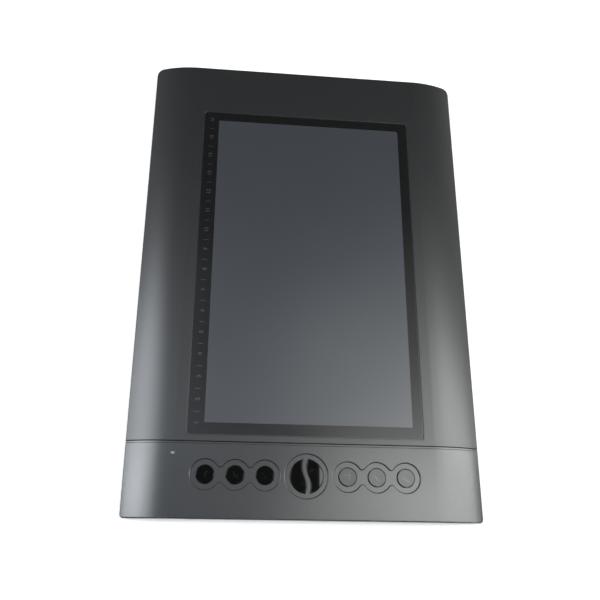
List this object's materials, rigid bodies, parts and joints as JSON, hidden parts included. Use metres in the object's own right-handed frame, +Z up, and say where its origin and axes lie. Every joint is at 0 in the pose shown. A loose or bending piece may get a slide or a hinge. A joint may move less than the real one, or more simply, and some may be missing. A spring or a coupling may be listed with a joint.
{
  "type": "graphics tablet",
  "caption": "Flat pen tablet with a matte drawing area, a printed soft-key strip, a key panel with round push keys and a USB socket.",
  "frame": {"origin": "middle of the footprint, on the plane that the rubber feet stand on", "axes": "+X across the tablet, +Y along it from the key panel to the far end, +Z up"},
  "size_m": [0.245, 0.3532, 0.01],
  "materials": {
    "casing": "fine satin texture, dark grey",
    "rear_casing": "fine matte texture, near black",
    "overlay": "satin film, black print under its border",
    "adhesive_film": "clear film",
    "circuit_board": "green solder mask",
    "insulating_film": "black polyester film",
    "shield_steel": "tinned sheet",
    "foam": "open-cell foam",
    "screw_steel": "black oxide",
    "socket_steel": "plated sheet",
    "connector_plastic": "moulded",
    "contact_metal": "gold-plated",
    "chip_package": "moulded epoxy",
    "crystal_can": "tinned can",
    "capacitor_ceramic": "fired ceramic",
    "ribbon_film": "white ribbon",
    "diode": "clear epoxy",
    "lamp_lens": "translucent white, lit",
    "foot_rubber": "soft matte rubber",
    "switch_plastic": "moulded",
    "plunger_plastic": "moulded",
    "key_gloss": "polished black"
  },
  "bodies": {
    "casing": {"board_connector": "connector_plastic", "board_screws": "screw_steel", "capacitors": "capacitor_ceramic", "case_screws": "screw_steel", "controller_chip": "chip_package", "crystal": "crystal_can", "drawing_sheet": "overlay", "foam_pads": "foam", "front_cover": "casing", "insulating_film": "insulating_film", "key_panel": "casing", "lamp_diode": "diode", "lamp_lens": "lamp_lens", "main_board": "circuit_board", "multiplexer_chips": "chip_package", "rear_cover": "rear_casing", "ribbon_cable": "ribbon_film", "rubber_foot_1": "foot_rubber", "rubber_foot_2": "foot_rubber", "rubber_foot_3": "foot_rubber", "rubber_foot_4": "foot_rubber", "rubber_foot_5": "foot_rubber", "rubber_foot_6": "foot_rubber", "sensor_board": "circuit_board", "sensor_connector": "connector_plastic", "sheet_adhesive": "adhesive_film", "shield_plate": "shield_steel", "switch_body_1": "switch_plastic", "switch_body_2": "switch_plastic", "switch_body_3": "switch_plastic", "switch_body_4": "switch_plastic", "switch_body_5": "switch_plastic", "switch_body_6": "switch_plastic", "switch_body_7": "switch_plastic", "switch_body_8": "switch_plastic", "usb_socket_contacts": "contact_metal", "usb_socket_shell": "socket_steel", "usb_socket_tongue": "connector_plastic"},
    "round_key_1_body": {"round_key_1": "key_gloss", "switch_plunger_1": "plunger_plastic"},
    "round_key_2_body": {"round_key_2": "key_gloss", "switch_plunger_2": "plunger_plastic"},
    "round_key_3_body": {"round_key_3": "key_gloss", "switch_plunger_3": "plunger_plastic"},
    "round_key_4_body": {"round_key_4": "key_gloss", "switch_plunger_4": "plunger_plastic"},
    "round_key_5_body": {"round_key_5": "key_gloss", "switch_plunger_5": "plunger_plastic"},
    "round_key_6_body": {"round_key_6": "key_gloss", "switch_plunger_6": "plunger_plastic"},
    "half_key_left_body": {"half_key_left": "key_gloss", "switch_plunger_7": "plunger_plastic"},
    "half_key_right_body": {"half_key_right": "key_gloss", "switch_plunger_8": "plunger_plastic"}
  },
  "joints": [
    {"name": "round_key_1_press", "type": "slide", "parent": "casing", "child": "round_key_1_body", "axis": [0, 0, -1], "range_m": [0, 0.0004], "stiffness_N_per_m": 500, "springref_m": -0.0006},
    {"name": "round_key_2_press", "type": "slide", "parent": "casing", "child": "round_key_2_body", "axis": [0, 0, -1], "range_m": [0, 0.0004], "stiffness_N_per_m": 500, "springref_m": -0.0006},
    {"name": "round_key_3_press", "type": "slide", "parent": "casing", "child": "round_key_3_body", "axis": [0, 0, -1], "range_m": [0, 0.0004], "stiffness_N_per_m": 500, "springref_m": -0.0006},
    {"name": "round_key_4_press", "type": "slide", "parent": "casing", "child": "round_key_4_body", "axis": [0, 0, -1], "range_m": [0, 0.0004], "stiffness_N_per_m": 500, "springref_m": -0.0006},
    {"name": "round_key_5_press", "type": "slide", "parent": "casing", "child": "round_key_5_body", "axis": [0, 0, -1], "range_m": [0, 0.0004], "stiffness_N_per_m": 500, "springref_m": -0.0006},
    {"name": "round_key_6_press", "type": "slide", "parent": "casing", "child": "round_key_6_body", "axis": [0, 0, -1], "range_m": [0, 0.0004], "stiffness_N_per_m": 500, "springref_m": -0.0006},
    {"name": "half_key_left_press", "type": "slide", "parent": "casing", "child": "half_key_left_body", "axis": [0, 0, -1], "range_m": [0, 0.0004], "stiffness_N_per_m": 500, "springref_m": -0.0006},
    {"name": "half_key_right_press", "type": "slide", "parent": "casing", "child": "half_key_right_body", "axis": [0, 0, -1], "range_m": [0, 0.0004], "stiffness_N_per_m": 500, "springref_m": -0.0006}
  ]
}
